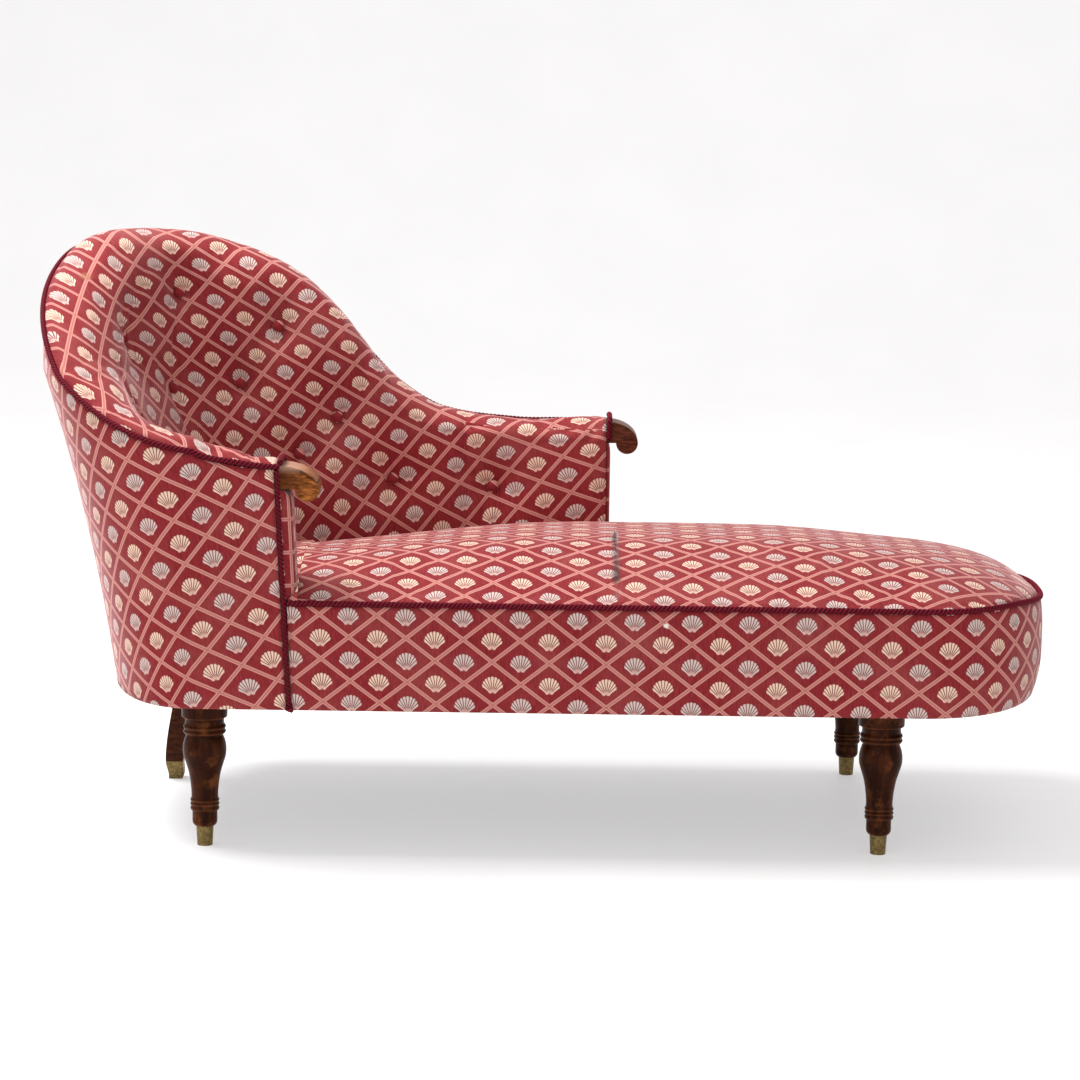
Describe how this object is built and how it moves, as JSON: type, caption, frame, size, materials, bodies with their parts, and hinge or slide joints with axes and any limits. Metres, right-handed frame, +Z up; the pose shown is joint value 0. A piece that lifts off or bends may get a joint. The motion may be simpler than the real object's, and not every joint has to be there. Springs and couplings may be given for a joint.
{
  "type": "fainting couch",
  "caption": "Fainting couch with a high rounded head, a back that sweeps down to a low arm, a short near arm, a rounded foot, buttoned back, turned legs and brass ferrules.",
  "frame": {"origin": "on the floor under the middle of the couch's length and width", "axes": "+X from the head to the foot, +Y from the open near side to the far back, +Z up"},
  "size_m": [1.4764, 0.6306, 0.8472],
  "materials": {
    "frame_wood": "sawn beech, unfinished",
    "leg_wood": "dark brown polish, worn to orange brown on the rings",
    "scroll_wood": "brown polish",
    "brass": "dull",
    "steel": "plain",
    "webbing": "woven jute",
    "canvas": "coarse canvas",
    "black_cloth": "thin matte cloth",
    "stuffing": "fibre under muslin",
    "lattice_cloth": "woven red cloth with a pale diamond lattice and shells",
    "edge_rope": "twisted maroon cord"
  },
  "bodies": {
    "root": {"front_rail": "frame_wood", "back_rail": "frame_wood", "head_bow_rail": "frame_wood", "foot_bow_rail": "frame_wood", "cross_rails": "frame_wood", "leg_blocks": "frame_wood", "block_screws": "steel", "near_arm_post": "frame_wood", "far_arm_post": "frame_wood", "back_uprights": "frame_wood", "top_rail": "frame_wood", "leg_head_near": "leg_wood", "leg_foot_near": "leg_wood", "leg_foot_far": "leg_wood", "leg_head_far_sabre": "leg_wood", "ferrule_head_near": "brass", "ferrule_foot_near": "brass", "ferrule_foot_far": "brass", "ferrule_sabre": "brass", "ferrule_pins": "brass", "seat_webbing": "webbing", "seat_springs": "steel", "spring_canvas": "canvas", "seat_stuffing": "stuffing", "seat_cover": "lattice_cloth", "border_padding": "stuffing", "seat_border": "lattice_cloth", "seat_rope": "edge_rope", "dust_cover": "black_cloth", "back_webbing": "webbing", "back_stuffing": "stuffing", "inside_back_cover": "lattice_cloth", "outside_back_cover": "lattice_cloth", "back_rope": "edge_rope", "back_buttons": "lattice_cloth", "near_arm_facing": "lattice_cloth", "far_arm_facing": "lattice_cloth", "near_post_rope": "edge_rope", "far_post_rope": "edge_rope", "near_scroll": "scroll_wood", "far_scroll": "scroll_wood", "scroll_dowels": "frame_wood", "scroll_ropes": "edge_rope"}
  },
  "joints": []
}
